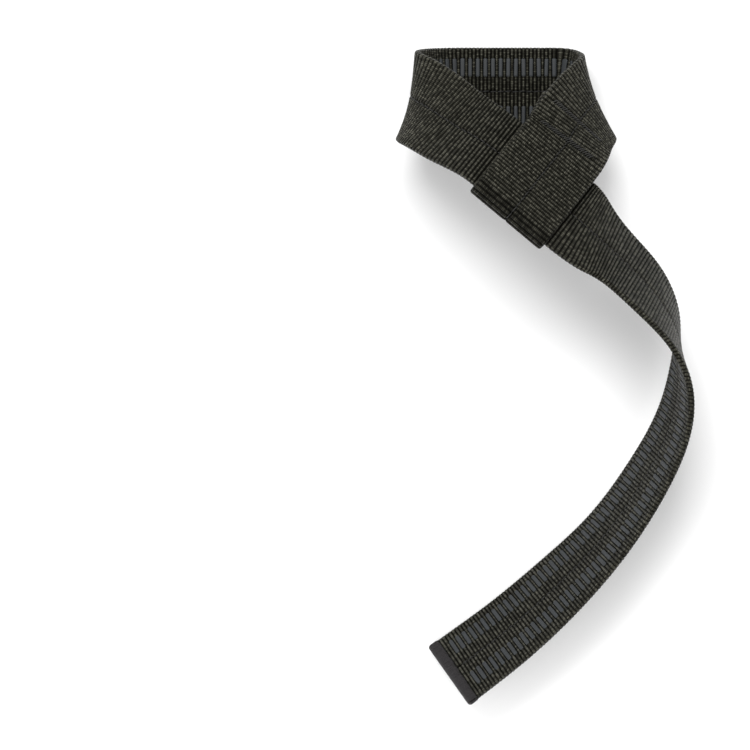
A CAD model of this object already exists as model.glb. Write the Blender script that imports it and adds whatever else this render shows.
"""The looks of a weightlifting strap: ribbed nylon webbing with woven rubber grip bars, a
stitched centre seam, bar tacks at its sleeve and a thread-bound tip. Metres, +Z up."""

import math
import random

import bpy
import numpy as np
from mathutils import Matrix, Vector


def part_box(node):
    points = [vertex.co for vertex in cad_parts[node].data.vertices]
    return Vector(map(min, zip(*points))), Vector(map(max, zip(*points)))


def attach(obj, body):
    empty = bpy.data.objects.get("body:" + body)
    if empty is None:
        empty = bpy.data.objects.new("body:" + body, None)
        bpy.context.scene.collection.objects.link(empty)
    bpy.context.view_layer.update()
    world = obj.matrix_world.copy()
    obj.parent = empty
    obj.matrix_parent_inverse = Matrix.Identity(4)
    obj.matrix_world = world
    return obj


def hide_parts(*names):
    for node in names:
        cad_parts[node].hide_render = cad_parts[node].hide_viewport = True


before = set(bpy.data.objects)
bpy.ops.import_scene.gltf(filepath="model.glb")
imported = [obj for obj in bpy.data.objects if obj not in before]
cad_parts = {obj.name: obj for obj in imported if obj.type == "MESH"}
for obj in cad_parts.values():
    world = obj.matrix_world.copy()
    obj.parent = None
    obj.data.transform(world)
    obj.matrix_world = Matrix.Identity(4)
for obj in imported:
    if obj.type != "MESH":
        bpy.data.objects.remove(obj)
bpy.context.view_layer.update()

# The webbing and its path, as the solids have them
WEBBING_WIDTH = 0.038
WEBBING_THICKNESS = 0.003
SELVEDGE_RADIUS = 0.0012
GRIP_WIDTH = 0.0079
GRIP_FROM_EDGE = 0.0048
LOOP_WIDTH = 0.0803
LOOP_DEPTH = 0.0424
LOOP_HEIGHT = 0.050
BACK_WALL_LEFT = -0.35
BACK_WALL_RIGHT = 0.14
SLEEVE_CLEARANCE = 0.0006
SLEEVE_MARGIN = 0.0015
FOLD_TUCK = 0.0022
SLEEVE_FACING = -128.3
SLEEVE_LEAN = 27.0
SLEEVE_PITCH = -3.0
SEWN_OVERLAP = 0.018
SEWN_RAMP = 0.007
TAIL_SPREAD = 0.0955
TAIL_DROP = 0.208
TIP_LIFT_LENGTH = 0.060
BINDING_LENGTH = 0.005
BINDING_PROUD = 0.0004

# Loop rows: east is a share of LOOP_WIDTH and north of LOOP_DEPTH, both from the
# crossing, and height of LOOP_HEIGHT. Facing and lean are the compass angle and the rise
# of the width direction, in degrees, east being 0 and north 90.
LOOP_COLUMNS = ("east", "north", "height", "facing", "lean")
RIGHT_TURN = (
    (0.252, 0.665, 0.69, -54.0, -4.0),
    (0.332, 0.880, 0.42, -68.0, 0.0),
    (0.248, 0.953, 0.14, -80.0, 3.5),
)
LEFT_TURN = (
    (-0.530, 0.975, 0.168, -96.5, 2.0),
    (-0.622, 0.905, 0.47, -100.5, 5.0),
    (-0.535, 0.755, 0.74, -112.0, 15.0),
    (-0.412, 0.580, 0.90, -121.0, 21.0),
)

# Tail rows: east is a share of TAIL_SPREAD and south of TAIL_DROP, both from the
# crossing, and clear is the height of the lower edge as a share of LOOP_HEIGHT.
TAIL_COLUMNS = ("east", "south", "clear", "facing", "lean")
TAIL = (
    (0.288, 0.112, 0.62, -134.0, 43.0),
    (0.475, 0.193, 0.48, -139.0, 54.5),
    (0.606, 0.275, 0.345, -153.0, 70.5),
    (0.661, 0.372, 0.22, -178.0, 93.5),
    (0.638, 0.472, 0.13, -195.0, 107.0),
    (0.523, 0.589, 0.045, -209.5, 115.0),
    (0.362, 0.70, 0.0, -218.5, 120.0),
    (0.138, 0.811, 0.0, -225.5, 128.0),
    (-0.12, 0.916, 0.0, -230.3, 133.5),
    (-0.362, 1.0, 0.0, -231.5, 136.0),
)

# The weave
RIB_PITCH = 0.00164
RIB_STEPS = 6
RIB_HEIGHT = 0.00052
RIB_ROUNDNESS = 0.75
YARN_PITCH = 0.00074
YARN_CONTRAST = 0.8
FINE_STEP = 0.0005
FOLD_STEPS = 24
SEAM_HALF_WIDTH = 0.0005
SEAM_DEPTH = 0.00055
SEAM_COLUMNS = (0.0, 0.45, 1.0, 1.8)
PLAIN_COLUMNS = (0.0045, 0.0085, 0.0125)
BAND_EDGE = 0.0001
EDGE_TURNS = (67.5, 38.0, 0.0, -38.0, -67.5)
EDGE_SWELL = 0.4
FACE_LEAN = 0.01
BAKE_STRIPS = 3
BAKE_MARGIN = 0.01

# Rubber bars, one on every second rib
BAR_HALF_LENGTH = GRIP_WIDTH / 2.0
BAR_HALF_WIDTH = 0.00096
BAR_HEIGHT = 0.0004
BAR_PROUD = 0.00018
BAR_CHANNEL = 0.0001
BAR_SIDES = 10
BAR_THREADS = 9
BAR_WAIST = 0.86
BAR_END = 0.5
BAR_SQUARENESS = 0.7
BAR_LONG = (0.97, 1.02)
BAR_WIDE = (0.94, 1.04)
BAR_TILT = 0.00008
BAR_SEED = 11

# Threads
STRAND_SIDES = 6
STRAND_END = 0.45
END_MARGIN = 0.002
STITCH_LENGTH = 0.0031
STITCH_SHARE = 0.96
STITCH_RADIUS = 0.00019
STITCH_POINTS = 7
STITCH_DRIFT = 0.00012
STITCH_SLANT = 0.00025
STITCH_SUNK = 0.0002
STITCH_SEED = 5
TACK_RADIUS = 0.00021
TACK_PITCH = 0.0011
TACK_HALF_LENGTH = 0.0011
TACK_LONG = (0.8, 1.15)
TACK_POINTS = 6
TACK_DRIFT = 0.0001
TACK_SLANT = 1.5
TACK_SUNK = 0.00025
TACK_RISE = 0.00035
TACK_SEED = 8
BIND_RADIUS = 0.00028
BIND_PITCH = 0.00050
BIND_PAST_EDGE = 0.0002
BIND_LIFT = 0.0001
BIND_SUNK = 0.0004
BIND_CORNER = 0.0009
BIND_TURN_POINTS = 9
BIND_PLACES = (1.0, 0.8, 0.5)
BIND_SHORT = 0.3
BIND_ENDS = (-0.0004, 0.0002)
BIND_WANDER = 0.00008
BIND_LEAN = 0.01
BIND_SEED = 3

# Darkening of the webbing round the bar tacks and where it turns over at the sleeve
TACK_DARKNESS = 0.75
TACK_SHADOW = 0.0009
FOLD_DARKNESS = 0.6
FOLD_REACH = 1.15
FOLD_BLUR = 0.3

# Rows of the bar tacks: distance from the sleeve's folded end, and from where to where
# across the webbing
TACK_ROWS = (
    (0.041, -0.0135, 0.0135),
    (0.052, -0.0135, 0.0135),
)

# Colours, linear
NYLON_VALLEY = (0.0010, 0.0010, 0.0008)
NYLON_CROWN = (0.021, 0.0205, 0.0150)
NYLON_SHINE = (1.0, 0.97, 0.78)
RUBBER_DARK = (0.015, 0.0170, 0.0185)
RUBBER_LIGHT = (0.030, 0.0340, 0.0370)
THREAD_DARK = (0.002, 0.002, 0.0017)
THREAD_LIGHT = (0.009, 0.0087, 0.0070)
BINDING_DARK = (0.0020, 0.0015, 0.0018)
BINDING_LIGHT = (0.0120, 0.0085, 0.0105)
FLOOR_COLOUR = (0.92, 0.92, 0.92)

# Yarns and filaments in the nylon's material
CROWN_SHARPNESS = 1.3
FILAMENTS_ACROSS = 5.0
FILAMENTS_ALONG = 1.1
YARN_LIFT = 0.25
FILAMENT_LIFT = 0.3
NYLON_BUMP = 0.85
NYLON_BUMP_DEPTH = 0.0003
SPECK_POWER = 2.0
SPECK_SPREAD = 1.5
SPECK_LEAST = 0.5
SHADOW_STRENGTH = 0.9
ROUGHNESS_SPREAD = 0.18
ROUGHNESS_LEAST = 0.34
SHINE_SPREAD = 0.60
SHINE_LEAST = 0.02

# Camera and photo frame: the photo looks straight down, and the strap is right of its middle
CAMERA_HEIGHT = 1.5
CAMERA_PLACE = (-0.0715, -0.0004)
PHOTO_PIXELS = 750
PIXELS_PER_METRE = 2320.0
SENSOR_MM = 36.0

# Light
FLOOR_SIZE = 6.0
SKY_LOW = 0.26
SKY_RISE = 0.90
LIGHT_TARGET = np.array((0.0, 0.0, 0.0))
# Name, compass angle, elevation, distance, size, watts
LIGHTS = (
    ("key", 106.0, 53.0, 1.4, (0.9, 0.5), 15.0),
    ("fill", -60.0, 35.0, 0.9, (0.8, 0.5), 0.8),
    ("card", -118.0, 14.0, 0.29, (0.10, 0.06), 0.2),
)


def unit(vector):
    """The vector at length one."""
    return vector / np.linalg.norm(vector)


def heading(facing, lean):
    """A unit vector from a compass angle and a rise, in degrees."""
    turn = math.radians(facing)
    rise = math.radians(lean)
    flat = math.cos(rise)
    return np.array((flat * math.cos(turn), flat * math.sin(turn), math.sin(rise)))


def angles(vector):
    """The compass angle and the rise of a unit vector, in degrees."""
    facing = math.degrees(math.atan2(vector[1], vector[0]))
    return facing, math.degrees(math.asin(vector[2]))


def eased(share):
    """A share held between nothing and all, with a soft start and end."""
    held = min(max(share, 0.0), 1.0)
    return held * held * (3.0 - 2.0 * held)


def crossing_frame():
    """Run, width and outward directions of the webbing inside the sleeve."""
    width = heading(SLEEVE_FACING, SLEEVE_LEAN)
    level = heading(SLEEVE_FACING + 90.0, 0.0)
    upright = np.cross(width, level)
    pitch = math.radians(SLEEVE_PITCH)
    run = level * math.cos(pitch) + upright * math.sin(pitch)
    return run, width, np.cross(width, run)


def spline_slopes(knots, values, first, last):
    """Slopes of the smooth curve through values at knots, with both end slopes given."""
    count = len(knots)
    gaps = np.diff(knots)
    system = np.zeros((count, count))
    target = np.zeros((count, values.shape[1]))
    system[0, 0] = 1.0
    system[-1, -1] = 1.0
    target[0] = first
    target[-1] = last
    for row in range(1, count - 1):
        before = gaps[row - 1]
        after = gaps[row]
        system[row, row - 1] = 1.0 / before
        system[row, row] = 2.0 / before + 2.0 / after
        system[row, row + 1] = 1.0 / after
        rise_before = (values[row] - values[row - 1]) / before ** 2
        rise_after = (values[row + 1] - values[row]) / after ** 2
        target[row] = 3.0 * (rise_before + rise_after)
    return np.linalg.solve(system, target)


def spline(knots, values, first, last, places):
    """The smooth curve through values at knots, read at the given places."""
    slopes = spline_slopes(knots, values, first, last)
    result = []
    for place in places:
        row = min(max(np.searchsorted(knots, place) - 1, 0), len(knots) - 2)
        gap = knots[row + 1] - knots[row]
        share = (place - knots[row]) / gap
        start_weight = 2.0 * share ** 3 - 3.0 * share ** 2 + 1.0
        start_pull = share ** 3 - 2.0 * share ** 2 + share
        end_pull = share ** 3 - share ** 2
        value = start_weight * values[row] + (1.0 - start_weight) * values[row + 1]
        value = value + gap * (start_pull * slopes[row] + end_pull * slopes[row + 1])
        result.append(value)
    return np.array(result)


def free_stretch(points, turns, first_run, last_run, step):
    """Points and width angles along a curved stretch between two straight ones."""
    points = np.array(points)
    turns = np.array(turns)
    steps = np.linalg.norm(np.diff(points, axis=0), axis=1)
    knots = np.concatenate(((0.0,), np.cumsum(steps)))
    count = int(round(knots[-1] / step)) + 1
    places = np.linspace(0.0, knots[-1], count)
    still = np.zeros(2)
    path = spline(knots, points, first_run, last_run, places)
    widths = spline(knots, turns, still, still, places)
    return path, widths


def loop_rows(rows):
    """Points and width angles of rows of the wrist loop."""
    points = []
    turns = []
    for row in rows:
        named = dict(zip(LOOP_COLUMNS, row))
        east = named["east"] * LOOP_WIDTH
        north = named["north"] * LOOP_DEPTH
        points.append(np.array((east, north, named["height"] * LOOP_HEIGHT)))
        turns.append((named["facing"], named["lean"]))
    return points, turns


def resting_height(clear, lean):
    """Height of the webbing's middle when its lower edge is the given height up."""
    rise = math.radians(lean)
    half_width = WEBBING_WIDTH / 2.0 - SELVEDGE_RADIUS
    half_thickness = WEBBING_THICKNESS / 2.0 - SELVEDGE_RADIUS
    reach = half_width * abs(math.sin(rise)) + half_thickness * abs(math.cos(rise))
    return max(clear, 0.0) + reach + SELVEDGE_RADIUS


def tail_stretch(start, start_turn, run, step):
    """The tail: its lower edge follows the rows, down to the surface it rests on, and the
    binding round the tip lifts its last stretch a little."""
    points = [start]
    turns = [start_turn]
    clears = [start[2] - resting_height(0.0, start_turn[1])]
    for row in TAIL:
        named = dict(zip(TAIL_COLUMNS, row))
        clear = named["clear"] * LOOP_HEIGHT
        height = resting_height(clear, named["lean"])
        east = named["east"] * TAIL_SPREAD
        points.append(np.array((east, -named["south"] * TAIL_DROP, height)))
        turns.append((named["facing"], named["lean"]))
        clears.append(clear)
    last_run = unit(points[-1] - points[-2])
    path, widths = free_stretch(points, turns, run, last_run, step)
    steps = np.linalg.norm(np.diff(np.array(points), axis=0), axis=1)
    knots = np.concatenate(((0.0,), np.cumsum(steps)))
    places = np.linspace(0.0, knots[-1], len(path))
    lows = spline(knots, np.array(clears)[:, None], run[2], 0.0, places)
    for place in range(1, len(path)):
        from_binding = knots[-1] - places[place] - BINDING_LENGTH
        lift = BINDING_PROUD * eased(1.0 - from_binding / TIP_LIFT_LENGTH)
        path[place][2] = resting_height(lows[place][0], widths[place][1]) + lift
    return path, widths


def frames(path, widths, first_run, last_run):
    """Stations of a path: each is a point, its run, its width and its outer direction."""
    runs = np.gradient(path, axis=0)
    runs[0] = first_run
    runs[-1] = last_run
    stations = []
    for point, run, (facing, lean) in zip(path, runs, widths):
        run = unit(run)
        width = heading(facing, lean)
        width = unit(width - run * np.dot(width, run))
        stations.append((point, run, width, np.cross(width, run)))
    return stations


def upper_path(step):
    """Stations from the sleeve's folded end, over the crossing and round the loop,
    through the sleeve to the end of the tail."""
    run, width, outward = crossing_frame()
    half_flat = WEBBING_WIDTH / 2.0 + SLEEVE_MARGIN
    layer = WEBBING_THICKNESS + SLEEVE_CLEARANCE
    crossing = np.array((0.0, 0.0, LOOP_HEIGHT))
    over = crossing + outward * layer
    over_start = over + width * (WEBBING_WIDTH / 2.0 - FOLD_TUCK)
    over_end = over - width * half_flat
    over_turn = angles(run)
    west = np.array((-1.0, 0.0, 0.0))
    rest = WEBBING_THICKNESS / 2.0
    right_end = np.array((BACK_WALL_RIGHT * LOOP_WIDTH, LOOP_DEPTH, rest))
    left_end = np.array((BACK_WALL_LEFT * LOOP_WIDTH, LOOP_DEPTH, rest))
    wall_turn = (-90.0, 0.0)
    through_start = crossing - run * half_flat
    through_end = crossing + run * half_flat
    through_turn = (SLEEVE_FACING, SLEEVE_LEAN)

    points, turns = loop_rows(RIGHT_TURN)
    right, right_widths = free_stretch(
        [over_end] + points + [right_end], [over_turn] + turns + [wall_turn], -width, west, step)
    points, turns = loop_rows(LEFT_TURN)
    left, left_widths = free_stretch(
        [left_end] + points + [through_start], [wall_turn] + turns + [through_turn], west, run, step)
    tail, tail_widths = tail_stretch(through_end, through_turn, run, step)
    tip_run = unit(tail[-1] - tail[-2])

    stations = [(over_start, -width, run, outward)]
    stations += frames(right, right_widths, -width, west)
    stations += frames(left, left_widths, west, run)
    stations += frames(tail, tail_widths, run, tip_run)
    return stations


def lengths(stations):
    """Distance of each station from the first, along the path."""
    points = np.array([station[0] for station in stations])
    steps = np.linalg.norm(np.diff(points, axis=0), axis=1)
    return np.concatenate(((0.0,), np.cumsum(steps)))


def folded_back(upper, fold_steps):
    """Stations of the folded-back end, under the crossing, from its cut end to the
    upper layer: it follows the upper layer two layers down, then one where it is sewn."""
    layer = WEBBING_THICKNESS + SLEEVE_CLEARANCE
    sleeve = WEBBING_WIDTH - FOLD_TUCK + SLEEVE_MARGIN
    places = lengths(upper)
    under = []
    for place, (point, run, width, outward) in zip(places, upper):
        if place > sleeve + SEWN_OVERLAP:
            break
        drop = layer * (2.0 - eased((place - sleeve) / SEWN_RAMP))
        under.append((point - outward * drop, -run, width, -outward))
    point, run, width, outward = upper[0]
    centre = point - outward * layer
    fold = []
    for step in range(1, fold_steps):
        turn = math.pi * step / fold_steps
        out = outward * math.cos(turn) - run * math.sin(turn)
        along = run * math.cos(turn) + outward * math.sin(turn)
        fold.append((centre + out * layer, along, width, out))
    return under[::-1] + fold[::-1]


class Path:
    """The webbing's path, read at any distance from the folded-back cut end."""

    def __init__(self):
        upper = upper_path(FINE_STEP)
        under = folded_back(upper, FOLD_STEPS)
        stations = under + upper
        self.places = lengths(stations)
        self.points = np.array([station[0] for station in stations])
        self.widths = np.array([station[2] for station in stations])
        self.outs = np.array([station[3] for station in stations])
        self.length = self.places[-1]
        self.sleeve_start = self.places[len(under)]
        self.points = self.points + self.shift()

    def shift(self):
        """The move that lays the path on the webbing's solid."""
        spread = SELVEDGE_RADIUS * np.sqrt(self.widths ** 2 + self.outs ** 2)
        edge = self.widths * (WEBBING_WIDTH / 2.0 - SELVEDGE_RADIUS)
        face = self.outs * (WEBBING_THICKNESS / 2.0 - SELVEDGE_RADIUS)
        corners = [self.points + edge * a + face * b for a in (-1, 1) for b in (-1, 1)]
        low = np.min([corner - spread for corner in corners], axis=(0, 1))
        high = np.max([corner + spread for corner in corners], axis=(0, 1))
        box_low, box_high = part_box("strap_webbing")
        return np.array((box_high[0] - high[0], box_high[1] - high[1], box_low[2] - low[2]))

    def between(self, values, where):
        """Values read between the stations."""
        columns = [np.interp(where, self.places, values[:, axis]) for axis in range(3)]
        return np.stack(columns, 1)

    def place(self, where, across, outward):
        """Points in space from distances along, across and out of the webbing."""
        where, across, outward = np.broadcast_arrays(where, across, outward)
        flat = where.ravel()
        points = self.between(self.points, flat)
        widths = self.between(self.widths, flat)
        outs = self.between(self.outs, flat)
        points = points + widths * across.ravel()[:, None] + outs * outward.ravel()[:, None]
        beyond = np.clip(flat - self.length, 0.0, None) + np.clip(flat, None, 0.0)
        ends = np.where((flat > 0.0)[:, None], self.run_at(-1), self.run_at(0))
        return (points + ends * beyond[:, None]).reshape(where.shape + (3,))

    def run_at(self, end):
        """The run direction at the first or the last station."""
        near, far = (1, 0) if end == 0 else (-1, -2)
        return unit(self.points[near] - self.points[far])


def grid_faces(rows, columns, wrap):
    """Corner numbers of the quads of a grid of points, wrapped round its columns."""
    last = columns if wrap else columns - 1
    row = np.repeat(np.arange(rows - 1), last)
    column = np.tile(np.arange(last), rows - 1)
    after = (column + 1) % columns
    return np.stack((
        row * columns + column, row * columns + after,
        (row + 1) * columns + after, (row + 1) * columns + column), 1)


def mesh_object(name, points, faces, material):
    """A smooth-shaded piece from arrays of points and faces."""
    mesh = bpy.data.meshes.new(name)
    mesh.from_pydata(points.reshape(-1, 3).tolist(), [], faces)
    mesh.materials.append(material)
    mesh.update()
    mesh.shade_smooth()
    piece = bpy.data.objects.new(name, mesh)
    bpy.context.collection.objects.link(piece)
    return piece


def face_outward(piece):
    """Turn the faces of a closed mesh outwards, by the sign of its volume."""
    mesh = piece.data
    mesh.calc_loop_triangles()
    points = np.empty(len(mesh.vertices) * 3)
    mesh.vertices.foreach_get("co", points)
    points = points.reshape(-1, 3)
    corners = np.empty(len(mesh.loop_triangles) * 3, dtype=np.int32)
    mesh.loop_triangles.foreach_get("vertices", corners)
    a, b, c = points[corners.reshape(-1, 3)].transpose(1, 0, 2)
    if (a * np.cross(b, c)).sum() < 0.0:
        mesh.flip_normals()


def ride(piece):
    """Carry a piece with the strap."""
    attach(piece, "root")
    return piece


def closed_faces(rows, columns):
    """Quads of a closed tube of points, with a face at either end."""
    faces = grid_faces(rows, columns, True).tolist()
    faces.append(list(range(columns))[::-1])
    faces.append([(rows - 1) * columns + column for column in range(columns)])
    return faces


def joined(parts):
    """Points and faces of several closed tubes as one."""
    points = []
    faces = []
    count = 0
    for part in parts:
        rows, columns = part.shape[:2]
        faces += [[corner + count for corner in face] for face in closed_faces(rows, columns)]
        points.append(part.reshape(-1, 3))
        count += rows * columns
    return np.concatenate(points), faces


def strand(path, radius, up=None):
    """Points of a thread's round sections along a path, drawn in at both ends."""
    path = np.asarray(path)
    runs = np.gradient(path, axis=0)
    runs /= np.linalg.norm(runs, axis=1)[:, None]
    up = np.array((0.0, 0.0, 1.0)) if up is None else np.asarray(up)
    side = np.cross(runs, up)
    side /= np.linalg.norm(side, axis=1)[:, None]
    over = np.cross(side, runs)
    share = np.ones(len(path))
    share[[0, -1]] = STRAND_END
    turns = np.arange(STRAND_SIDES) * 2.0 * math.pi / STRAND_SIDES
    ring = side[:, None] * np.cos(turns)[None, :, None]
    ring = ring + over[:, None] * np.sin(turns)[None, :, None]
    return path[:, None] + ring * (radius * share)[:, None, None]


# Materials

class Nodes:
    """Short ways of adding nodes to a material."""

    def __init__(self, name):
        self.material = bpy.data.materials.new(name)
        self.material.use_nodes = True
        self.tree = self.material.node_tree
        self.shader = self.tree.nodes["Principled BSDF"]

    def feed(self, socket, value):
        """Give a socket a value or another node's output."""
        if isinstance(value, bpy.types.NodeSocket):
            self.tree.links.new(value, socket)
        else:
            socket.default_value = value

    def add(self, kind, output, settings=None, **inputs):
        """A node of a kind, with its inputs fed, read at one output."""
        node = self.tree.nodes.new(kind)
        for key, value in (settings or {}).items():
            setattr(node, key, value)
        for key, value in inputs.items():
            place = int(key[1:]) if key[1:].isdigit() else key.replace("_", " ")
            self.feed(node.inputs[place], value)
        return node.outputs[output]

    def math(self, operation, first, second=0.0, third=0.0, clamp=False):
        """One step of arithmetic."""
        settings = {"operation": operation, "use_clamp": clamp}
        return self.add("ShaderNodeMath", 0, settings, i0=first, i1=second, i2=third)

    def wave(self, value):
        """A bump in the middle of each whole step: nothing at its ends and one between."""
        share = self.math("FRACT", value)
        return self.math("SINE", self.math("MULTIPLY", share, math.pi))

    def mix(self, factor, first, second):
        """A colour between two."""
        node = self.tree.nodes.new("ShaderNodeMix")
        node.data_type = "RGBA"
        self.feed(node.inputs[0], factor)
        for place, colour in ((6, first), (7, second)):
            if not isinstance(colour, bpy.types.NodeSocket):
                colour = (*colour, 1.0)
            self.feed(node.inputs[place], colour)
        return node.outputs[2]

    def finish(self, **inputs):
        """Feed the shader."""
        for key, value in inputs.items():
            if isinstance(value, tuple) and len(value) == 3:
                value = (*value, 1.0)
            self.feed(self.shader.inputs[key.replace("_", " ")], value)
        return self.material


def nylon_material():
    """Black ribbed nylon: each rib is a row of yarn crowns, and each yarn a bundle of fine
    filaments. The weave map counts yarns across and ribs along."""
    n = Nodes("black_nylon")
    weave = n.add("ShaderNodeUVMap", 0, {"uv_map": "weave"})
    split = n.tree.nodes.new("ShaderNodeSeparateXYZ")
    n.feed(split.inputs[0], weave)
    yarns, ribs = split.outputs[0], split.outputs[1]
    yarn_crown = n.wave(yarns)
    rib_crown = n.wave(ribs)
    yarn_share = n.math("MULTIPLY_ADD", yarn_crown, YARN_CONTRAST, 1.0 - YARN_CONTRAST)
    dot = n.math("MULTIPLY", yarn_share, n.math("POWER", rib_crown, CROWN_SHARPNESS))
    cell = n.add(
        "ShaderNodeCombineXYZ", 0, None,
        X=n.math("FLOOR", yarns), Y=n.math("FLOOR", ribs), Z=0.0)
    chance = n.add("ShaderNodeTexWhiteNoise", 0, {"noise_dimensions": "3D"}, Vector=cell)
    stretched = n.add(
        "ShaderNodeCombineXYZ", 0, None,
        X=n.math("MULTIPLY", yarns, FILAMENTS_ACROSS),
        Y=n.math("MULTIPLY", ribs, FILAMENTS_ALONG), Z=0.0)
    filament = n.add("ShaderNodeTexNoise", 0, None, Vector=stretched, Scale=1.0, Detail=2.0)
    lift = n.math("MULTIPLY_ADD", chance, YARN_LIFT, dot)
    height = n.math("MULTIPLY_ADD", filament, FILAMENT_LIFT, lift)
    bump = n.add(
        "ShaderNodeBump", 0, None,
        Strength=NYLON_BUMP, Distance=NYLON_BUMP_DEPTH, Height=height)
    speck = n.math(
        "MULTIPLY_ADD", n.math("POWER", chance, SPECK_POWER), SPECK_SPREAD, SPECK_LEAST)
    shade = n.math("MULTIPLY", dot, speck)
    shadow = n.add("ShaderNodeAttribute", 2, {"attribute_name": "shadow"})
    shade = n.math("MULTIPLY", shade, n.math("MULTIPLY_ADD", shadow, -SHADOW_STRENGTH, 1.0))
    colour = n.mix(shade, NYLON_VALLEY, NYLON_CROWN)
    rough = n.math("MULTIPLY_ADD", filament, ROUGHNESS_SPREAD, ROUGHNESS_LEAST)
    shine = n.math("MULTIPLY_ADD", shade, SHINE_SPREAD, SHINE_LEAST)
    return n.finish(
        Base_Color=colour, Roughness=rough, Normal=bump, Specular_IOR_Level=shine,
        Specular_Tint=NYLON_SHINE)


def rubber_material():
    """Satin grey rubber, faintly streaked along the bar."""
    n = Nodes("grip_rubber")
    place = n.add("ShaderNodeTexCoord", 3)
    broad = n.add("ShaderNodeTexNoise", 0, None, Vector=place, Scale=180.0, Detail=2.0)
    fine = n.add("ShaderNodeTexNoise", 0, None, Vector=place, Scale=2200.0, Detail=3.0)
    colour = n.mix(broad, RUBBER_DARK, RUBBER_LIGHT)
    bump = n.add("ShaderNodeBump", 0, None, Strength=0.35, Distance=0.0001, Height=fine)
    rough = n.math("MULTIPLY_ADD", broad, 0.25, 0.42)
    return n.finish(Base_Color=colour, Roughness=rough, Normal=bump, Specular_IOR_Level=0.35)


def thread_material(name, dark, light, roughness):
    """Twisted sewing thread."""
    n = Nodes(name)
    place = n.add("ShaderNodeTexCoord", 3)
    fine = n.add("ShaderNodeTexNoise", 0, None, Vector=place, Scale=1500.0, Detail=3.0)
    colour = n.mix(fine, dark, light)
    bump = n.add("ShaderNodeBump", 0, None, Strength=0.5, Distance=0.0001, Height=fine)
    return n.finish(Base_Color=colour, Roughness=roughness, Normal=bump, Sheen_Weight=0.1)


# Webbing

def half_section():
    """Places across one half of the webbing's faces, from the middle to the edge's arc."""
    flat_end = WEBBING_WIDTH / 2.0 - SELVEDGE_RADIUS
    outer_bar = WEBBING_WIDTH / 2.0 - GRIP_FROM_EDGE
    inner_bar = outer_bar - GRIP_WIDTH
    seam = tuple(SEAM_HALF_WIDTH * share for share in SEAM_COLUMNS)
    barred = seam
    for edge in (inner_bar, outer_bar):
        barred += (edge - BAND_EDGE, edge + BAND_EDGE)
    return seam + PLAIN_COLUMNS + (flat_end,), barred + (flat_end,)


def section():
    """The webbing's section as columns going round it: distance across, distance out, and
    the direction that the ribs swell in."""
    plain, barred = half_section()
    half_width = WEBBING_WIDTH / 2.0 - SELVEDGE_RADIUS
    half_thickness = WEBBING_THICKNESS / 2.0 - SELVEDGE_RADIUS
    outer = [(across, 1.0) for across in plain]
    inner = [(across, -1.0) for across in barred]
    flats = {
        1.0: [(-a, s) for a, s in outer[:0:-1]] + outer,
        -1.0: [(-a, s) for a, s in inner[:0:-1]] + inner,
    }
    columns = []
    for across, side in flats[1.0]:
        columns.append((across, side * WEBBING_THICKNESS / 2.0, 0.0, side))
    for turn in EDGE_TURNS:
        angle = math.radians(turn)
        columns.append((
            half_width + SELVEDGE_RADIUS * math.cos(angle),
            math.copysign(half_thickness, angle) + SELVEDGE_RADIUS * math.sin(angle)
            if turn else 0.0, math.cos(angle), math.sin(angle)))
    for across, side in flats[-1.0][::-1]:
        columns.append((across, side * WEBBING_THICKNESS / 2.0, 0.0, side))
    for turn in EDGE_TURNS[::-1]:
        angle = math.radians(turn)
        columns.append((
            -half_width - SELVEDGE_RADIUS * math.cos(angle),
            math.copysign(half_thickness, angle) + SELVEDGE_RADIUS * math.sin(angle)
            if turn else 0.0, -math.cos(angle), math.sin(angle)))
    return np.array(columns)


def rib_profile(ribs):
    """How far the surface is below the crown of a rib, as a share of its height."""
    return np.abs(np.sin(math.pi * ribs)) ** RIB_ROUNDNESS - 1.0


def in_band(across):
    """Whether a place across the webbing is under a rubber band."""
    outer = WEBBING_WIDTH / 2.0 - GRIP_FROM_EDGE
    inner = outer - GRIP_WIDTH
    return (np.abs(across) < outer) & (np.abs(across) > inner)


def webbing(path, ribs):
    """The whole length of webbing, with its ribs, seam groove and grip channels."""
    columns = section()
    pitch = path.length / ribs
    rows = ribs * RIB_STEPS + 1
    counts = np.arange(rows) / RIB_STEPS
    where = counts[:, None] * pitch
    across = columns[None, :, 0]
    depth = rib_profile(counts)[:, None] * RIB_HEIGHT
    seam = np.exp(-(across / SEAM_HALF_WIDTH) ** 2) * (np.abs(columns[None, :, 2]) < FACE_LEAN)
    depth = depth - SEAM_DEPTH * seam
    inner = in_band(across) & (columns[None, :, 1] < 0.0)
    depth = depth - inner * BAR_CHANNEL
    swell = np.where(np.abs(columns[None, :, 2]) > FACE_LEAN, EDGE_SWELL, 1.0)
    out = columns[None, :, 1] + columns[None, :, 3] * depth * swell
    across = across + columns[None, :, 2] * depth * EDGE_SWELL
    points = path.place(where, across, out)
    rows, cols = points.shape[:2]
    piece = mesh_object("webbing", points, closed_faces(rows, cols), nylon_material())
    weave_map(piece, columns, rows)
    shadow = np.clip(seam + tack_shadow(path, where, columns) + fold_shadow(path, where), 0.0, 1.0)
    darkening = piece.data.attributes.new("shadow", "FLOAT", "POINT")
    darkening.data.foreach_set("value", np.broadcast_to(shadow, (rows, cols)).ravel())
    return ride(piece)


def tack_shadow(path, where, columns):
    """How dark the webbing is round the holes of the bar tacks, on its outer face."""
    result = 0.0
    outer = (columns[None, :, 1] > 0.0) & (np.abs(columns[None, :, 2]) < FACE_LEAN)
    for start, first, last in TACK_ROWS:
        away = (where - path.sleeve_start - start) / TACK_SHADOW
        inside = (columns[None, :, 0] > first) & (columns[None, :, 0] < last)
        result = result + np.exp(-away ** 2) * inside * outer * TACK_DARKNESS
    return result


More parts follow.
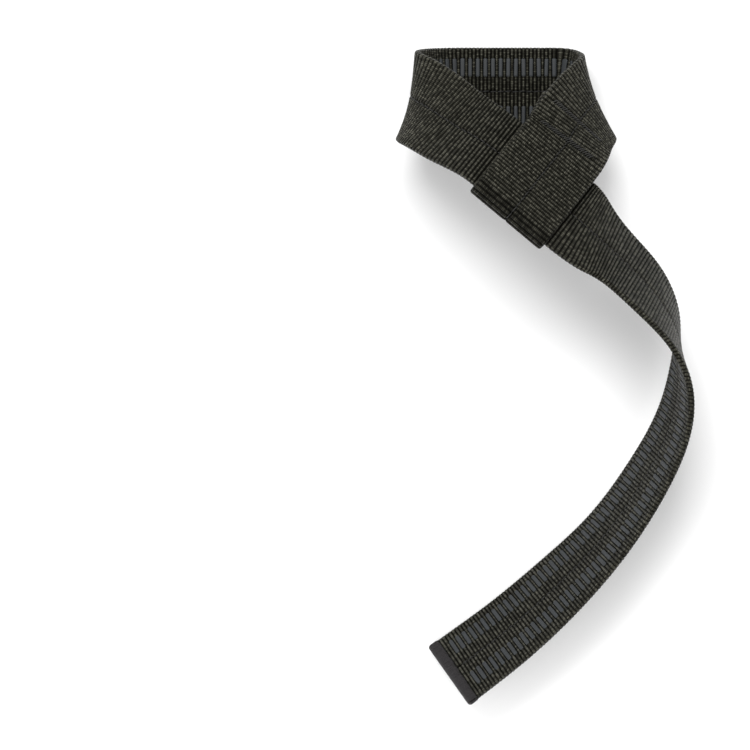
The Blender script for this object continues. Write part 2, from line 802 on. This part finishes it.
def fold_shadow(path, where):
    """How dark the webbing is where it turns over at the sleeve's end."""
    layer = WEBBING_THICKNESS + SLEEVE_CLEARANCE
    middle = path.sleeve_start - layer * math.pi / 2.0
    away = np.abs(where - middle) / (layer * math.pi / 2.0)
    return FOLD_DARKNESS * np.clip((FOLD_REACH - away) / FOLD_BLUR, 0.0, 1.0)


def weave_map(piece, columns, rows):
    """The map that counts yarns round the section and ribs along the webbing, and a second
    one that lays the webbing out in even strips."""
    cols = len(columns)
    loop = np.concatenate((columns[:, :2], columns[:1, :2]))
    around = np.concatenate(((0.0,), np.cumsum(np.linalg.norm(np.diff(loop, axis=0), axis=1))))
    quads = grid_faces(rows, cols, True)
    row = np.repeat(np.arange(rows - 1), cols)
    column = np.tile(np.arange(cols), rows - 1)
    corner_columns = np.stack((column, column + 1, column + 1, column), 1)
    corner_rows = np.stack((row, row, row + 1, row + 1), 1)
    yarns = around[corner_columns] / YARN_PITCH
    ribs = corner_rows / RIB_STEPS
    add_map(piece.data, "weave", yarns, ribs, len(quads))
    strips = corner_rows[:, :1] * BAKE_STRIPS // rows
    first = strips * rows / BAKE_STRIPS
    along = (corner_rows - first) / (rows / BAKE_STRIPS + 1.0)
    share = around[corner_columns] / around[-1]
    high = (strips + BAKE_MARGIN + share * (1.0 - 2.0 * BAKE_MARGIN)) / BAKE_STRIPS
    add_map(piece.data, "OFBake", BAKE_MARGIN + along * (1.0 - 2.0 * BAKE_MARGIN), high, len(quads))


def add_map(mesh, name, first, second, quads):
    """A map from the values at the corners of the quads, the end faces at a point."""
    layer = mesh.uv_layers.new(name=name)
    values = np.zeros((len(mesh.loops), 2), dtype=np.float32)
    values[:quads * 4, 0] = first.ravel()
    values[:quads * 4, 1] = second.ravel()
    layer.data.foreach_set("uv", values.ravel())


def rubber_bars(path, ribs):
    """A rubber bar over every second rib of both bands."""
    pitch = path.length / ribs
    middle = WEBBING_WIDTH / 2.0 - GRIP_FROM_EDGE - GRIP_WIDTH / 2.0
    turns = np.arange(BAR_SIDES) * 2.0 * math.pi / BAR_SIDES
    round_run = np.sign(np.cos(turns)) * np.abs(np.cos(turns)) ** BAR_SQUARENESS
    round_out = np.sign(np.sin(turns)) * np.abs(np.sin(turns)) ** BAR_SQUARENESS
    stations = np.linspace(-1.0, 1.0, 2 * BAR_THREADS + 1)
    swell = np.where(np.arange(len(stations)) % 2, 1.0, BAR_WAIST)
    swell[[0, -1]] = BAR_END
    chance = random.Random(BAR_SEED)
    bars = []
    last = ribs - int(BINDING_LENGTH / pitch) - 1
    for side in (-1.0, 1.0):
        for rib in range(1, last, 2):
            long = BAR_HALF_LENGTH * chance.uniform(*BAR_LONG)
            wide = BAR_HALF_WIDTH * chance.uniform(*BAR_WIDE)
            tilt = chance.uniform(-BAR_TILT, BAR_TILT)
            where = (rib + 0.5) * pitch + round_run[None, :] * swell[:, None] * wide
            where = where + tilt * stations[:, None]
            across = side * middle + stations[:, None] * long
            high = -WEBBING_THICKNESS / 2.0 - BAR_PROUD + BAR_HEIGHT
            out = high + round_out[None, :] * swell[:, None] * BAR_HEIGHT
            bars.append(path.place(where, across, out))
    points, faces = joined(bars)
    piece = mesh_object("rubber_bars", points, faces, rubber_material())
    face_outward(piece)
    return ride(piece)


def seam_stitches(path, material):
    """The line of lock stitches along the middle, on both faces."""
    chance = random.Random(STITCH_SEED)
    count = int((path.length - BINDING_LENGTH - 2.0 * END_MARGIN) / STITCH_LENGTH)
    stitches = []
    for side in (-1.0, 1.0):
        for number in range(count):
            start = END_MARGIN + number * STITCH_LENGTH
            drift = chance.uniform(-STITCH_DRIFT, STITCH_DRIFT)
            shares = np.linspace(0.0, 1.0, STITCH_POINTS)
            where = start + shares * STITCH_LENGTH * STITCH_SHARE
            across = drift + (shares - 0.5) * STITCH_SLANT
            sunk = WEBBING_THICKNESS / 2.0 - SEAM_DEPTH - STITCH_SUNK
            out = side * (sunk + STITCH_RADIUS * 2.0 * np.sin(math.pi * shares) ** 0.5)
            stitches.append(strand(path.place(where, across, out), STITCH_RADIUS))
    points, faces = joined(stitches)
    piece = mesh_object("seam_stitches", points, faces, material)
    face_outward(piece)
    return ride(piece)


def bar_tacks(path, material):
    """The rows of close stitches that close the sleeve beside the crossing."""
    chance = random.Random(TACK_SEED)
    stitches = []
    for start, first, last in TACK_ROWS:
        count = int((last - first) / TACK_PITCH)
        for number in range(count):
            across = first + number * TACK_PITCH + chance.uniform(-TACK_DRIFT, TACK_DRIFT)
            half = TACK_HALF_LENGTH * chance.uniform(*TACK_LONG)
            shares = np.linspace(0.0, 1.0, TACK_POINTS)
            where = path.sleeve_start + start + (shares - 0.5) * 2.0 * half
            slant = (shares - 0.5) * TACK_PITCH * TACK_SLANT
            out = WEBBING_THICKNESS / 2.0 - TACK_SUNK + TACK_RISE * np.sin(math.pi * shares)
            stitches.append(strand(path.place(where, across + slant, out), TACK_RADIUS))
    points, faces = joined(stitches)
    piece = mesh_object("bar_tacks", points, faces, material)
    face_outward(piece)
    return ride(piece)


def binding(path):
    """Threads side by side, wrapped over the cut end of the tail."""
    material = thread_material("binding_thread", BINDING_DARK, BINDING_LIGHT, 0.85)
    chance = random.Random(BIND_SEED)
    half = WEBBING_WIDTH / 2.0 + BIND_PAST_EDGE
    count = int(2.0 * half / BIND_PITCH)
    lift = WEBBING_THICKNESS / 2.0 + BIND_LIFT
    tip = np.array((path.length,))
    up = path.between(path.widths, tip)[0] + BIND_LEAN * path.between(path.outs, tip)[0]
    threads = []
    for number in range(count + 1):
        across = -half + 2.0 * half * number / count
        near_edge = max(0.0, abs(across) - (half - SELVEDGE_RADIUS)) / SELVEDGE_RADIUS
        high = lift - SELVEDGE_RADIUS * (1.0 - math.sqrt(max(0.0, 1.0 - near_edge ** 2)))
        short = BIND_CORNER * near_edge ** 2
        back = BINDING_LENGTH + chance.uniform(*BIND_ENDS)
        turns = np.radians(np.linspace(90.0, -90.0, BIND_TURN_POINTS))
        round_where = path.length - BIND_CORNER - short + BIND_CORNER * np.cos(turns)
        round_out = high * np.sin(turns)
        straight = path.length - back * np.array(BIND_PLACES) - short * BIND_SHORT
        where = np.concatenate((straight, round_where, straight[::-1]))
        flat_out = np.array((high - BIND_SUNK, high, high))
        out = np.concatenate((flat_out, round_out, -flat_out[::-1]))
        lean = np.linspace(-0.5, 0.5, len(where)) * BIND_PITCH
        wander = chance.uniform(-BIND_WANDER, BIND_WANDER)
        line = path.place(where, across + lean + wander, out)
        threads.append(strand(line, BIND_RADIUS, unit(up)))
    points, faces = joined(threads)
    piece = mesh_object("binding_threads", points, faces, material)
    face_outward(piece)
    return ride(piece)


def floor_and_light():
    """A white floor under the strap, the lights, and a white sky that is brightest overhead."""
    bpy.ops.mesh.primitive_plane_add(size=FLOOR_SIZE, location=(0.0, 0.0, 0.0))
    floor = bpy.context.object
    floor.name = "floor"
    n = Nodes("white_floor")
    white = n.finish(Base_Color=FLOOR_COLOUR, Roughness=1.0, Specular_IOR_Level=0.0)
    floor.data.materials.append(white)
    world = bpy.data.worlds.new("sky")
    bpy.context.scene.world = world
    world.use_nodes = True
    tree = world.node_tree
    direction = tree.nodes.new("ShaderNodeTexCoord")
    split = tree.nodes.new("ShaderNodeSeparateXYZ")
    rise = tree.nodes.new("ShaderNodeMath")
    rise.operation = "MULTIPLY_ADD"
    rise.inputs[1].default_value = SKY_RISE
    rise.inputs[2].default_value = SKY_LOW
    tree.links.new(direction.outputs["Generated"], split.inputs[0])
    tree.links.new(split.outputs["Z"], rise.inputs[0])
    tree.links.new(rise.outputs[0], tree.nodes["Background"].inputs["Strength"])
    tree.nodes["Background"].inputs["Color"].default_value = (1.0, 1.0, 1.0, 1.0)
    for name, azimuth, elevation, distance, size, watts in LIGHTS:
        lamp = bpy.data.lights.new(name, "AREA")
        lamp.shape = "RECTANGLE"
        lamp.size, lamp.size_y = size
        lamp.energy = watts
        source = bpy.data.objects.new(name, lamp)
        bpy.context.collection.objects.link(source)
        towards = heading(azimuth, elevation)
        source.location = LIGHT_TARGET + towards * distance
        source.rotation_mode = "QUATERNION"
        source.rotation_quaternion = Vector(-towards).to_track_quat("-Z", "Y")


def camera():
    """A camera that looks straight down and frames the strap as the photo does."""
    view = bpy.data.cameras.new("camera")
    view.sensor_width = SENSOR_MM
    view.lens = SENSOR_MM * CAMERA_HEIGHT * PIXELS_PER_METRE / PHOTO_PIXELS
    eye = bpy.data.objects.new("camera", view)
    bpy.context.collection.objects.link(eye)
    eye.location = (*CAMERA_PLACE, CAMERA_HEIGHT)
    bpy.context.scene.camera = eye


def build():
    """Everything."""
    path = Path()
    ribs = int(round(path.length / RIB_PITCH))
    strap = webbing(path, ribs)
    bars = rubber_bars(path, ribs)
    seam_thread = thread_material("seam_thread", THREAD_DARK, THREAD_LIGHT, 0.6)
    seam = seam_stitches(path, seam_thread)
    tacks = bar_tacks(path, seam_thread)
    tip = binding(path)
    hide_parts("strap_webbing")
    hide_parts("grip_strip_near", "grip_strip_far")
    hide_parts("end_binding")
    floor_and_light()
    camera()
    bpy.context.scene.view_settings.view_transform = "Standard"


build()
